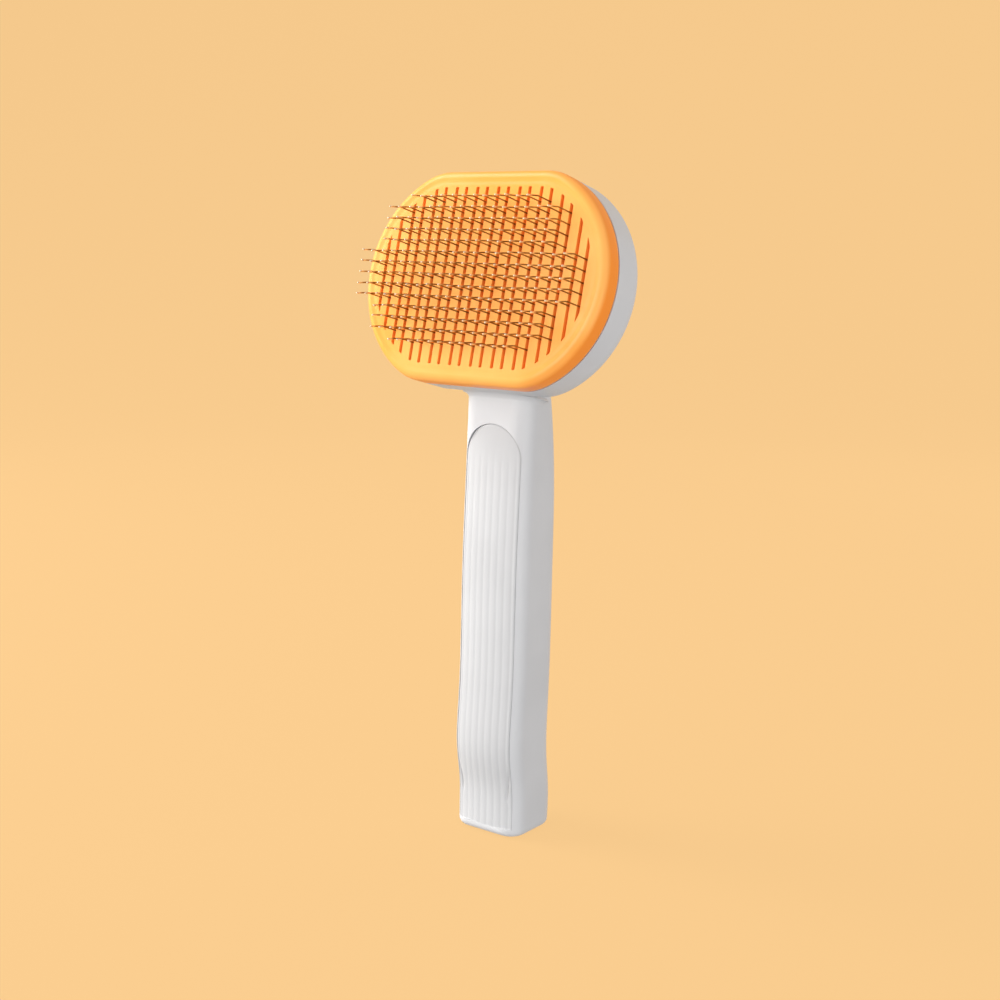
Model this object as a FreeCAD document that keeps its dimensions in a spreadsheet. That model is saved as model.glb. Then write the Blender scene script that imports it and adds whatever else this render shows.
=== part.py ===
import FreeCAD, Part
import math
import os
import Sketcher

# Self-cleaning slicker brush for pets, in millimetres.
# Row frame: origin at the tail end of the handle, +Z up along the handle, the bristles face -Y.
# Head frame: origin at the middle of the comb plate's face, x across, y up the head, z along the bristles.
# Depths are counted behind the comb plate's face, so a depth is minus z in the head frame.

X_AXIS = FreeCAD.Vector(1, 0, 0)

document = FreeCAD.newDocument("slicker_brush")
sizes = document.addObject("Spreadsheet::Sheet", "sizes")

DRIVING_SIZES = [
    # where the head stands on the handle
    ("headHeight", 168.0, "tail end to the middle of the comb plate's face"),
    ("headForward", 15.5, "handle axis to the middle of the comb plate's face"),
    ("headTilt", 14.0, "degrees that the face leans back"),
    # the head's outline: two large side arcs cut by a flat top and bottom
    ("arcCentre", 10.1, "side arc centre from the middle"),
    ("arcRadius", 32.5, "side arc radius"),
    ("flatHeight", 30.9, "half height between the flats"),
    ("cornerRadius", 18.0, "blend between side arc and flat"),
    # comb plate
    ("faceThickness", 1.8, "comb plate's face"),
    ("rimDepth", 6.4, "comb plate's visible side wall"),
    ("rimRound", 2.4, "rounding of the comb plate's front edge"),
    ("skirtWall", 1.4, "inner skirt"),
    ("skirtClear", 0.8, "rear end of the skirt to the inside of the bowl"),
    ("fieldInset", 5.0, "outline to the edge of the slotted field"),
    ("slotWidth", 1.1, "slot"),
    ("bladeEdge", 0.18, "flat leg's side to the slot beside it"),
    ("bladeHeight", 8.0, "flat leg, up the head"),
    ("bladeRise", 10.0, "flat leg's middle above the head's middle"),
    # housing
    ("shellGap", 0.3, "parting gap and sliding clearance"),
    ("shellWall", 2.0, "white mouldings"),
    ("bowlDepth", 18.0, "depth where the back starts to dome"),
    ("plateauInset", 14.0, "outline to the edge of the flat back"),
    ("plateauCorner", 4.5, "corner blend of the flat back"),
    ("backRound", 5.0, "rounding between side wall and dome"),
    ("plateauRound", 9.0, "rounding between dome and flat back"),
    # bristles
    ("columnMargin", 1.58, "outermost slot to the widest point of the slotted field"),
    ("rowMargin", 5.1, "outermost row to the flat edge of the slotted field"),
    ("endMargin", 2.2, "least distance from a staple to the end of its slots"),
    ("legGap", 3.44, "legs of one staple"),
    ("arrayRise", 0.75, "middle of the rows above the head's middle"),
    ("wireRadius", 0.225, "bristle wire"),
    ("bristleLength", 11.0, "tip above the comb plate's face"),
    ("straightLength", 5.4, "face to the bend"),
    ("bendAngle", 13.0, "degrees that the tips lean down"),
    ("bendRadius", 3.0, "inside of the bend"),
    # the fixed stack behind the comb plate
    ("cushionDepth", 3.6, "front of the rubber cushion"),
    ("cushionThickness", 1.2, "rubber cushion"),
    ("carrierThickness", 2.2, "bristle carrier"),
    ("retainerThickness", 1.0, "retainer behind the staples"),
    ("carrierGap", 0.6, "carrier's edge to the skirt"),
    ("bladeGap", 0.4, "carrier's windows round the flat legs"),
    ("bossInset", 8.2, "carrier screw inside the head's outline"),
    ("bossTurn", 31.8, "degrees up the side arc to a carrier screw"),
    ("bossRadius", 3.2, "screw boss"),
    ("screwRadius", 1.1, "carrier screw shank"),
    ("screwHeadRadius", 2.0, "carrier screw head"),
    ("screwHeadHeight", 1.3, "carrier screw head"),
    ("screwSink", 1.0, "counterbore in the carrier"),
    ("screwReach", 6.0, "carrier screw in its boss"),
    ("pilotGap", 0.05, "hole round a screw shank"),
    # the moving stack: pusher, button, spring
    ("travel", 11.0, "stroke of the comb plate"),
    ("travelSpare", 0.4, "pusher to retainer at the end of the stroke"),
    ("pusherEdge", 1.7, "pusher plate beyond the flat legs"),
    ("pusherLap", 2.5, "pusher plate beyond the button, up the head"),
    ("pusherThickness", 1.8, "pusher plate"),
    ("pusherCorner", 4.0, "corner of the pusher plate"),
    ("headroom", 1.4, "pusher plate to the inside of the back"),
    ("buttonRadius", 13.0, "push button"),
    ("buttonWall", 1.6, "push button"),
    ("buttonRound", 3.0, "push button's edge"),
    ("buttonProud", 1.2, "push button above the back when pressed home"),
    ("collarHeight", 2.2, "ring that the button snaps on"),
    ("collarWall", 2.0, "ring that the button snaps on"),
    ("collarGap", 0.1, "ring to button"),
    ("dishRadius", 48.0, "thumb hollow in the button"),
    ("dishDepth", 1.0, "thumb hollow in the button"),
    ("springRadius", 5.0, "return spring, middle of the wire"),
    ("springWire", 0.4, "return spring wire radius"),
    ("springTurns", 7.0, "return spring"),
    ("pegHeight", 2.4, "spring seat on the retainer"),
    ("smallScrewRadius", 0.7, "screw into a flat leg"),
    ("smallHeadRadius", 1.25, "its head"),
    ("smallHeadHeight", 0.9, "its head"),
    ("smallScrewLength", 5.5, "its shank"),
    # handle: its width, and where the poles of its front and back curves stand at each level
    ("handleHalfWidth", 12.0, "handle"),
    ("handleRound", 5.6, "long edges of the handle"),
    ("tailRound", 2.0, "tail end's edge"),
    ("heelLevel", 9.0, "height of a pole above the tail"),
    ("waistLevel", 16.0, "height of a pole above the tail"),
    ("palmLevel", 27.0, "height of a pole above the tail"),
    ("gripLevel", 48.0, "height of a pole above the tail"),
    ("middleLevel", 84.0, "height of a pole above the tail"),
    ("neckBelow", 46.0, "below the head's middle"),
    ("rootBelow", 20.0, "below the head's middle, inside the head"),
    ("tailFront", 10.4, "ahead of the handle's axis"),
    ("heelFront", 10.3, "ahead of the handle's axis"),
    ("waistFront", 10.1, "ahead of the handle's axis"),
    ("palmFront", 13.1, "ahead of the handle's axis"),
    ("gripFront", 10.3, "ahead of the handle's axis"),
    ("middleFront", 10.8, "ahead of the handle's axis"),
    ("neckFront", 8.0, "ahead of the handle's axis"),
    ("rootFront", 7.4, "ahead of the handle's axis"),
    ("tailBack", 10.2, "behind the handle's axis"),
    ("heelBack", 11.0, "behind the handle's axis"),
    ("waistBack", 10.2, "behind the handle's axis"),
    ("palmBack", 8.6, "behind the handle's axis"),
    ("gripBack", 10.4, "behind the handle's axis"),
    ("middleBack", 10.4, "behind the handle's axis"),
    ("neckBack", 11.2, "behind the handle's axis"),
    ("rootBack", 5.1, "behind the handle's axis"),
    # front cover, let into the handle
    ("coverHalfWidth", 10.0, "front cover"),
    ("coverBelow", 42.7, "top of the cover's arch below the head's middle"),
    ("coverFoot", 2.6, "lower end of the cover"),
    ("coverThickness", 2.2, "front cover"),
    ("coverGap", 0.12, "joint round the cover"),
    ("coverReach", 20.0, "how far the cover's prism runs ahead of the handle and behind it"),
    ("ledge", 1.6, "shelf that the cover lies on"),
]

for line, (alias, value, meaning) in enumerate(DRIVING_SIZES, start=1):
    sizes.set("A%d" % line, alias)
    sizes.set("B%d" % line, str(value))
    sizes.set("C%d" % line, meaning)
    sizes.setAlias("B%d" % line, alias)
document.recompute()

# Sizes that follow from the driving ones, as expressions for setExpression.
SKIRT_OUTSIDE = "(sizes.shellWall + sizes.shellGap)"
SKIRT_INSIDE = "(sizes.shellWall + sizes.shellGap + sizes.skirtWall)"
CARRIER_EDGE = "(sizes.shellWall + sizes.shellGap + sizes.skirtWall + sizes.carrierGap)"
CARRIER_DEPTH = "(sizes.cushionDepth + sizes.cushionThickness)"
RETAINER_DEPTH = "(sizes.cushionDepth + sizes.cushionThickness + sizes.carrierThickness)"
STACK_BACK = "(%s + sizes.retainerThickness)" % RETAINER_DEPTH
CROWN_DEPTH = "(%s - sizes.wireRadius)" % RETAINER_DEPTH
PUSHER_DEPTH = "(%s + sizes.travel + sizes.travelSpare)" % STACK_BACK
PUSHER_BACK = "(%s + sizes.pusherThickness)" % PUSHER_DEPTH
CAVITY_BACK = "(%s + sizes.headroom)" % PUSHER_BACK
PLATEAU_DEPTH = "(%s + sizes.shellWall)" % CAVITY_BACK
BUTTON_TOP = "(%s + sizes.travel + sizes.buttonProud)" % PLATEAU_DEPTH
SKIRT_DEPTH = "(sizes.bowlDepth - sizes.shellWall - sizes.skirtClear)"
BOSS_ACROSS = "(sizes.arcCentre + (sizes.arcRadius - sizes.bossInset) * cos(sizes.bossTurn * 1 deg))"
BOSS_RISE = "((sizes.arcRadius - sizes.bossInset) * sin(sizes.bossTurn * 1 deg))"
COVER_TOP = "(sizes.headHeight - sizes.coverBelow)"
SHELL_FRONT = "(sizes.rimDepth + sizes.shellGap)"
CARRIER_SCREW = "(sizes.carrierThickness - sizes.screwSink + sizes.retainerThickness + sizes.screwReach)"

COLUMNS = 10
ROWS = 14

# The columns fill the slotted field from side to side, and the rows from flat to flat.
FIELD_REACH = "(sizes.arcCentre + sizes.arcRadius - sizes.fieldInset - sizes.columnMargin)"
COLUMN_PITCH = "((2 * %s - sizes.slotWidth - sizes.legGap) / %d)" % (FIELD_REACH, COLUMNS - 1)
ROW_PITCH = "(2 * (sizes.flatHeight - sizes.fieldInset - sizes.rowMargin) / %d)" % (ROWS - 1)
BLADE_ACROSS = "(2 * %s)" % COLUMN_PITCH
BLADE_THICKNESS = "(%s - sizes.legGap - sizes.slotWidth - 2 * sizes.bladeEdge)" % COLUMN_PITCH
PUSHER_ACROSS = "(%s + %s / 2 + sizes.pusherEdge)" % (BLADE_ACROSS, BLADE_THICKNESS)
PUSHER_RISE = "(sizes.buttonRadius + sizes.pusherLap)"


def measure(expression):
    """The value of an expression of the sheet, as a plain number."""
    answer = sizes.evalExpression(expression.replace("sizes.", ""))
    return float(getattr(answer, "Value", answer))


def make_body(name):
    return document.addObject("PartDesign::Body", name)


def origin_part(body, role):
    for feature in body.Origin.OriginFeatures:
        if feature.Role == role:
            return feature
    raise RuntimeError("no %s in %s" % (role, body.Name))


def make_sketch(body, name, role="XY_Plane", height="0"):
    """A sketch parallel to one of the body's own origin planes, at a height above it."""
    sketch = body.newObject("Sketcher::SketchObject", name)
    sketch.AttachmentSupport = (origin_part(body, role), [""])
    sketch.MapMode = "FlatFace"
    sketch.AttachmentOffset = FreeCAD.Placement(FreeCAD.Vector(0, 0, measure(height)), FreeCAD.Rotation())
    sketch.setExpression("AttachmentOffset.Base.z", height)
    return sketch


def hold(sketch, name, expression, *constraint):
    """A named dimension of a sketch that follows the sheet."""
    number = sketch.addConstraint(Sketcher.Constraint(*constraint, measure(expression)))
    sketch.renameConstraint(number, name)
    sketch.setExpression("Constraints.%s" % name, expression)


def add_outline(sketch, inset, corner, tag):
    """The head's outline, moved inwards: two side arcs, two flats and four tangent corners."""
    radius = measure("sizes.arcRadius - %s" % inset)
    flat = measure("sizes.flatHeight - %s" % inset)
    centre = measure("sizes.arcCentre")
    blend = measure(corner)
    across = math.sqrt((radius - blend) ** 2 - (flat - blend) ** 2)
    turn = math.atan2(flat - blend, across)
    across += centre
    quarter = math.pi / 2
    vector = FreeCAD.Vector
    up = vector(0, 0, 1)

    def arc(x, y, size, start, end):
        return Part.ArcOfCircle(Part.Circle(vector(x, y, 0), up, size), start, end)

    lift = flat - blend
    first = sketch.GeometryCount
    edges = [
        arc(centre, 0, radius, -turn, turn),
        arc(across, lift, blend, turn, quarter),
        Part.LineSegment(vector(across, flat, 0), vector(-across, flat, 0)),
        arc(-across, lift, blend, quarter, 2 * quarter - turn),
        arc(-centre, 0, radius, 2 * quarter - turn, 2 * quarter + turn),
        arc(-across, -lift, blend, 2 * quarter + turn, 3 * quarter),
        Part.LineSegment(vector(-across, -flat, 0), vector(across, -flat, 0)),
        arc(across, -lift, blend, 3 * quarter, 4 * quarter - turn),
    ]
    sketch.addGeometry(edges, False)
    side, top, other_side, bottom = first, first + 2, first + 4, first + 6
    for number in range(8):
        follower = first + (number + 1) % 8
        sketch.addConstraint(Sketcher.Constraint("Tangent", first + number, 2, follower, 1))
    sketch.addConstraint(Sketcher.Constraint("Horizontal", top))
    sketch.addConstraint(Sketcher.Constraint("Horizontal", bottom))
    sketch.addConstraint(Sketcher.Constraint("PointOnObject", side, 3, -1))
    sketch.addConstraint(Sketcher.Constraint("Symmetric", side, 3, other_side, 3, -2))
    sketch.addConstraint(Sketcher.Constraint("Equal", side, other_side))
    for number in (3, 5, 7):
        sketch.addConstraint(Sketcher.Constraint("Equal", first + 1, first + number))
    hold(sketch, "centre" + tag, "sizes.arcCentre", "DistanceX", -1, 1, side, 3)
    hold(sketch, "radius" + tag, "sizes.arcRadius - %s" % inset, "Radius", side)
    hold(sketch, "blend" + tag, corner, "Radius", first + 1)
    hold(sketch, "above" + tag, "sizes.flatHeight - %s" % inset, "DistanceY", -1, 1, top, 1)
    hold(sketch, "below" + tag, "sizes.flatHeight - %s" % inset, "DistanceY", bottom, 1, -1, 1)


def outline_sketch(body, name, depth, insets, corner=None):
    """One outline, or several inside each other, at a depth behind the comb plate's face."""
    sketch = make_sketch(body, name, "XY_Plane", "-(%s)" % depth)
    for number, inset in enumerate(insets):
        add_outline(sketch, inset, corner or "sizes.cornerRadius - %s" % inset, "ABC"[number])
    return sketch


def add_rectangle(sketch, half_width, low, high, tag=""):
    """A rectangle about the sketch's upright axis, from a low to a high line."""
    width, bottom, top = measure(half_width), measure(low), measure(high)
    corners = [(-width, bottom), (width, bottom), (width, top), (-width, top)]
    points = [FreeCAD.Vector(x, y, 0) for x, y in corners]
    first = sketch.GeometryCount
    sides = [Part.LineSegment(points[i], points[(i + 1) % 4]) for i in range(4)]
    sketch.addGeometry(sides, False)
    for number in range(4):
        follower = first + (number + 1) % 4
        sketch.addConstraint(Sketcher.Constraint("Coincident", first + number, 2, follower, 1))
    for number, kind in ((0, "Horizontal"), (1, "Vertical"), (2, "Horizontal"), (3, "Vertical")):
        sketch.addConstraint(Sketcher.Constraint(kind, first + number))
    hold(sketch, "right" + tag, half_width, "DistanceX", -1, 1, first, 2)
    hold(sketch, "left" + tag, half_width, "DistanceX", first, 1, -1, 1)
    hold(sketch, "low" + tag, low, "DistanceY", -1, 1, first, 1)
    hold(sketch, "high" + tag, high, "DistanceY", -1, 1, first + 2, 1)


def add_circle(sketch, radius, across="0", rise="0", tag=""):
    centre = FreeCAD.Vector(measure(across), measure(rise), 0)
    circle = Part.Circle(centre, FreeCAD.Vector(0, 0, 1), measure(radius))
    number = sketch.addGeometry(circle, False)
    hold(sketch, "size" + tag, radius, "Radius", number)
    if across == "0" and rise == "0":
        sketch.addConstraint(Sketcher.Constraint("Coincident", number, 3, -1, 1))
        return
    hold(sketch, "across" + tag, across, "DistanceX", -1, 1, number, 3)
    hold(sketch, "rise" + tag, rise, "DistanceY", -1, 1, number, 3)


def four_corners():
    """Signs of the four places that repeat about the head's middle, with a letter for each."""
    return [(1, 1, "A"), (-1, 1, "B"), (-1, -1, "C"), (1, -1, "D")]


def add_four_circles(sketch, radius, across, rise):
    for side, level, tag in four_corners():
        add_circle(sketch, radius, "%d * %s" % (side, across), "%d * %s" % (level, rise), tag)


def extrude(body, kind, name, sketch, length, reverse=False, midplane=False):
    """A Pad or a Pocket of a sketch. Reverse on a Pad runs it away from the bristles."""
    feature = body.newObject("PartDesign::" + kind, name)
    feature.Profile = sketch
    feature.Reversed = reverse
    feature.Midplane = midplane
    feature.setExpression("Length", length)
    body.Tip = feature
    return feature


def loft(body, name, first, others, kind="AdditiveLoft", ruled=False):
    feature = body.newObject("PartDesign::" + kind, name)
    feature.Profile = first
    feature.Sections = others
    feature.Ruled = ruled
    body.Tip = feature
    return feature


def round_edges(body, name, base, radius, wanted):
    """A fillet on the edges of the base feature that the test accepts."""
    document.recompute()
    names = ["Edge%d" % (i + 1) for i, edge in enumerate(base.Shape.Edges) if wanted(edge)]
    feature = body.newObject("PartDesign::Fillet", name)
    feature.Base = (base, names)
    feature.setExpression("Radius", radius)
    body.Tip = feature
    return feature


def all_at_height(height):
    """A test for edges that lie at one height of the body's own frame."""
    return lambda edge: all(abs(v.Z - height) < 0.001 for v in edge.Vertexes)


def seat_on_head(feature, across="0", rise="0"):
    """Places something made in the head frame. Rise moves it up along the comb plate."""
    middle = FreeCAD.Vector(measure(across), 0, 0)
    feature.Placement = FreeCAD.Placement(middle, FreeCAD.Rotation(X_AXIS, 90 - measure("sizes.headTilt")))
    lean = "sizes.headTilt * 1 deg"
    feature.setExpression("Placement.Base.x", across)
    feature.setExpression("Placement.Base.y", "-sizes.headForward + (%s) * sin(%s)" % (rise, lean))
    feature.setExpression("Placement.Base.z", "sizes.headHeight + (%s) * cos(%s)" % (rise, lean))
    feature.setExpression("Placement.Rotation.Angle", "90 - sizes.headTilt")


def make_box(name, length, width, height, corner):
    """A box with its size and its lowest corner bound to the sheet."""
    box = document.addObject("Part::Box", name)
    for side, expression in (("Length", length), ("Width", width), ("Height", height)):
        box.setExpression(side, expression)
    for axis, expression in zip("xyz", corner):
        box.setExpression("Placement.Base.%s" % axis, expression)
    return box


def make_cylinder(name, radius, height, base):
    cylinder = document.addObject("Part::Cylinder", name)
    cylinder.setExpression("Radius", radius)
    cylinder.setExpression("Height", height)
    for axis, expression in zip("xyz", base):
        cylinder.setExpression("Placement.Base.%s" % axis, expression)
    return cylinder


def join(name, pieces):
    union = document.addObject("Part::MultiFuse", name)
    union.Shapes = pieces
    return union


def overlap(name, pieces):
    common = document.addObject("Part::MultiCommon", name)
    common.Shapes = pieces
    return common


def cut(name, base, tool):
    difference = document.addObject("Part::Cut", name)
    difference.Base = base
    difference.Tool = tool
    return difference


def group(name, pieces):
    """Identical pieces that stay separate solids in one node."""
    compound = document.addObject("Part::Compound", name)
    compound.Links = pieces
    return compound


def column_middle(column):
    return "%.1f * %s" % (column - (COLUMNS - 1) / 2, COLUMN_PITCH)


def row_middle(row):
    return "sizes.arrayRise + %.1f * %s" % ((ROWS - 1) / 2 - row, ROW_PITCH)


def rows_that_fit(column):
    """First and last row of a column whose staple stands clear of the ends of its slots."""
    outer = abs(measure(column_middle(column))) + measure("sizes.legGap / 2")
    reach = measure("sizes.arcRadius - sizes.fieldInset")
    aside = max(0.0, outer - measure("sizes.arcCentre"))
    slot_end = min(measure("sizes.flatHeight - sizes.fieldInset"), math.sqrt(reach ** 2 - aside ** 2))
    room = slot_end - measure("sizes.endMargin")
    fitting = [row for row in range(ROWS) if abs(measure(row_middle(row))) <= room]
    return fitting[0], fitting[-1]


def slot_middles():
    """Expressions for the middle of each slot across the head, left to right."""
    middles = []
    for column in range(COLUMNS):
        pair = "(" + column_middle(column)
        middles.append(pair + " - sizes.legGap / 2)")
        middles.append(pair + " + sizes.legGap / 2)")
    return middles


def make_comb_plate():
    """Slotted orange face with a deep rim, a sliding inner skirt and four flat legs to the pusher."""
    body = make_body("comb_plate_blank")
    face = outline_sketch(body, "comb_outline", "0", ["0"])
    block = extrude(body, "Pad", "comb_block", face, "sizes.rimDepth", reverse=True)
    front = round_edges(body, "comb_front_round", block, "sizes.rimRound", all_at_height(0))
    hollow = outline_sketch(body, "comb_hollow_outline", "sizes.rimDepth", [SKIRT_INSIDE])
    recess = extrude(body, "Pocket", "comb_hollow", hollow, "sizes.rimDepth - sizes.faceThickness")
    recess.Reversed = True
    ring = outline_sketch(body, "comb_skirt_outline", "sizes.faceThickness", [SKIRT_OUTSIDE, SKIRT_INSIDE])
    extrude(body, "Pad", "comb_skirt", ring, SKIRT_DEPTH + " - sizes.faceThickness", reverse=True)

    field = make_body("slot_field")
    edge = outline_sketch(field, "slot_field_outline", "sizes.faceThickness + 1", ["sizes.fieldInset"])
    extrude(field, "Pad", "slot_field_block", edge, "sizes.faceThickness + 2")
    strips = []
    for number, middle in enumerate(slot_middles()):
        corner = (middle + " - sizes.slotWidth / 2", "-sizes.flatHeight", "-sizes.faceThickness - 1")
        strip = make_box("slot_strip_%02d" % number, "sizes.slotWidth", "2 * sizes.flatHeight",
                         "sizes.faceThickness + 2", corner)
        strips.append(strip)
    slots = overlap("slots", [field, join("slot_strips", strips)])
    slotted = cut("comb_slotted", body, slots)

    legs = []
    pilots = []
    for side, level, tag in four_corners():
        middle = ("%d * %s" % (side, BLADE_ACROSS), "%d * sizes.bladeRise" % level)
        corner = ("%s - %s / 2" % (middle[0], BLADE_THICKNESS), middle[1] + " - sizes.bladeHeight / 2",
                  "-" + PUSHER_DEPTH)
        reach = PUSHER_DEPTH + " - sizes.faceThickness / 2"
        legs.append(make_box("flat_leg_" + tag, BLADE_THICKNESS, "sizes.bladeHeight", reach, corner))
        base = (middle[0], middle[1], "-%s - 1" % PUSHER_DEPTH)
        pilots.append(make_cylinder("flat_leg_pilot_" + tag, "sizes.smallScrewRadius + sizes.pilotGap",
                                    "sizes.smallScrewLength + 1", base))
    whole = join("comb_with_legs", [slotted] + legs)
    plate = cut("comb_plate", whole, join("flat_leg_pilots", pilots))
    seat_on_head(plate)
    return plate


def make_pusher_plate():
    """Plate behind the bristles that carries the comb plate's legs and the button's ring."""
    body = make_body("pusher_plate")
    sketch = make_sketch(body, "pusher_outline", "XY_Plane", "-" + PUSHER_DEPTH)
    add_rectangle(sketch, PUSHER_ACROSS, "-" + PUSHER_RISE, PUSHER_RISE)
    block = extrude(body, "Pad", "pusher_block", sketch, "sizes.pusherThickness", reverse=True)
    upright = round_edges(body, "pusher_corners", block, "sizes.pusherCorner",
                          lambda edge: abs(edge.tangentAt(edge.FirstParameter).z) > 0.999)
    ring = make_sketch(body, "pusher_ring_outline", "XY_Plane", "-" + PUSHER_DEPTH)
    add_circle(ring, "sizes.buttonRadius - sizes.buttonWall - sizes.collarGap")
    extrude(body, "Pad", "pusher_ring", ring, "sizes.pusherThickness + sizes.collarHeight", reverse=True)
    bore = make_sketch(body, "pusher_bore_outline", "XY_Plane", "-" + PUSHER_DEPTH)
    add_circle(bore, "sizes.buttonRadius - sizes.buttonWall - sizes.collarGap - sizes.collarWall")
    through = "sizes.pusherThickness + sizes.collarHeight + 1"
    extrude(body, "Pocket", "pusher_bore", bore, through, reverse=False)
    holes = make_sketch(body, "pusher_screw_holes", "XY_Plane", "-" + PUSHER_DEPTH)
    add_four_circles(holes, "sizes.smallScrewRadius + sizes.pilotGap", BLADE_ACROSS, "sizes.bladeRise")
    extrude(body, "Pocket", "pusher_screws", holes, through, reverse=False)
    seat_on_head(body)
    return body


def make_push_button():
    """Round cap behind the head, with a thumb hollow, hollow inside for the spring."""
    body = make_body("push_button_blank")
    sketch = make_sketch(body, "button_outline", "XY_Plane", "-" + BUTTON_TOP)
    add_circle(sketch, "sizes.buttonRadius")
    solid = extrude(body, "Pad", "button_block", sketch, "%s - %s" % (BUTTON_TOP, PUSHER_BACK))
    top = -measure(BUTTON_TOP)
    round_edges(body, "button_round", solid, "sizes.buttonRound", all_at_height(top))
    inside = make_sketch(body, "button_inside_outline", "XY_Plane", "-" + PUSHER_BACK)
    add_circle(inside, "sizes.buttonRadius - sizes.buttonWall")
    hollow = "%s - %s - sizes.buttonWall - sizes.dishDepth" % (BUTTON_TOP, PUSHER_BACK)
    extrude(body, "Pocket", "button_inside", inside, hollow)
    ball = document.addObject("Part::Sphere", "button_dish_ball")
    ball.setExpression("Radius", "sizes.dishRadius")
    ball.setExpression("Placement.Base.z", "-%s - sizes.dishRadius + sizes.dishDepth" % BUTTON_TOP)
    button = cut("push_button", body, ball)
    seat_on_head(button)
    return button


def make_return_spring():
    """Compression spring between the bristle retainer and the inside of the button."""
    start = "-(%s - sizes.buttonWall - sizes.dishDepth - sizes.springWire)" % BUTTON_TOP
    inside = "(%s - sizes.buttonWall - sizes.dishDepth)" % BUTTON_TOP
    length = "(%s - %s - 2 * sizes.springWire)" % (inside, STACK_BACK)
    helix = document.addObject("Part::Helix", "spring_line")
    helix.setExpression("Radius", "sizes.springRadius")
    helix.setExpression("Height", length)
    helix.setExpression("Pitch", "%s / sizes.springTurns" % length)
    helix.SegmentLength = 0
    wire = document.addObject("Part::RegularPolygon", "spring_section")
    wire.Polygon = 8
    wire.setExpression("Circumradius", "sizes.springWire")
    wire.setExpression("Placement.Base.x", "sizes.springRadius")
    wire.Placement.Rotation = FreeCAD.Rotation(X_AXIS, 90)
    document.recompute()
    coil = document.addObject("Part::Sweep", "spring_coil")
    coil.Sections = [wire]
    coil.Spine = (helix, ["Edge1"])
    coil.Solid = True
    coil.Frenet = True
    coil.setExpression("Placement.Base.z", start)
    spring = join_single("return_spring", coil)
    seat_on_head(spring)
    return spring


def join_single(name, piece):
    """A compound of one piece, so that it gets a placement of its own in the head frame."""
    return group(name, [piece])


def carrier_windows(sketch, gap):
    """Openings for the four flat legs, with a gap all round."""
    for side, level, tag in four_corners():
        middle = "%d * %s" % (side, BLADE_ACROSS)
        half = "(%s / 2 + %s)" % (BLADE_THICKNESS, gap)
        low = "%d * sizes.bladeRise - sizes.bladeHeight / 2 - %s" % (level, gap)
        high = "%d * sizes.bladeRise + sizes.bladeHeight / 2 + %s" % (level, gap)
        add_window(sketch, "%s - %s" % (middle, half), "%s + %s" % (middle, half), low, high, tag)


def add_window(sketch, left, right, low, high, tag):
    """A rectangle given by its four sides."""
    x0, x1, y0, y1 = (measure(e) for e in (left, right, low, high))
    points = [FreeCAD.Vector(x, y, 0) for x, y in ((x0, y0), (x1, y0), (x1, y1), (x0, y1))]
    first = sketch.GeometryCount
    sketch.addGeometry([Part.LineSegment(points[i], points[(i + 1) % 4]) for i in range(4)], False)
    for number in range(4):
        follower = first + (number + 1) % 4
        sketch.addConstraint(Sketcher.Constraint("Coincident", first + number, 2, follower, 1))
    for number, kind in ((0, "Horizontal"), (1, "Vertical"), (2, "Horizontal"), (3, "Vertical")):
        sketch.addConstraint(Sketcher.Constraint(kind, first + number))
    hold(sketch, "leftSide" + tag, left, "DistanceX", -1, 1, first, 1)
    hold(sketch, "rightSide" + tag, right, "DistanceX", -1, 1, first, 2)
    hold(sketch, "lowSide" + tag, low, "DistanceY", -1, 1, first, 1)
    hold(sketch, "highSide" + tag, high, "DistanceY", -1, 1, first + 2, 1)


def make_layer(name, depth, thickness, hole_radius):
    """One plate of the fixed stack: the carrier's outline with leg windows and screw holes."""
    body = make_body(name)
    edge = outline_sketch(body, name + "_outline", depth, [CARRIER_EDGE])
    extrude(body, "Pad", name + "_block", edge, thickness, reverse=True)
    openings = make_sketch(body, name + "_windows", "XY_Plane", "-(%s)" % depth)
    carrier_windows(openings, "sizes.bladeGap")
    extrude(body, "Pocket", name + "_leg_windows", openings, "%s + 1" % thickness)
    holes = make_sketch(body, name + "_holes", "XY_Plane", "-(%s)" % depth)
    add_four_circles(holes, hole_radius, BOSS_ACROSS, BOSS_RISE)
    extrude(body, "Pocket", name + "_screw_holes", holes, "%s + 1" % thickness)
    seat_on_head(body)
    return body


def make_carrier():
    """Plate that holds the staples, with counterbores for its four screws."""
    body = make_layer("bristle_carrier", CARRIER_DEPTH, "sizes.carrierThickness",
                      "sizes.screwRadius + sizes.pilotGap")
    sinks = make_sketch(body, "carrier_counterbores", "XY_Plane", "-" + CARRIER_DEPTH)
    add_four_circles(sinks, "sizes.screwHeadRadius + sizes.shellGap", BOSS_ACROSS, BOSS_RISE)
    extrude(body, "Pocket", "carrier_screw_sinks", sinks, "sizes.screwSink")
    return body


def make_retainer():
    """Thin plate that closes the staples in, with the seat of the return spring on its back."""
    body = make_layer("bristle_retainer", RETAINER_DEPTH, "sizes.retainerThickness",
                      "sizes.screwRadius + sizes.pilotGap")
    peg = make_sketch(body, "spring_peg_outline", "XY_Plane", "-" + STACK_BACK)
    add_circle(peg, "sizes.springRadius - sizes.springWire - sizes.shellGap")
    extrude(body, "Pad", "spring_peg", peg, "sizes.pegHeight", reverse=True)
    return body


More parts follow.
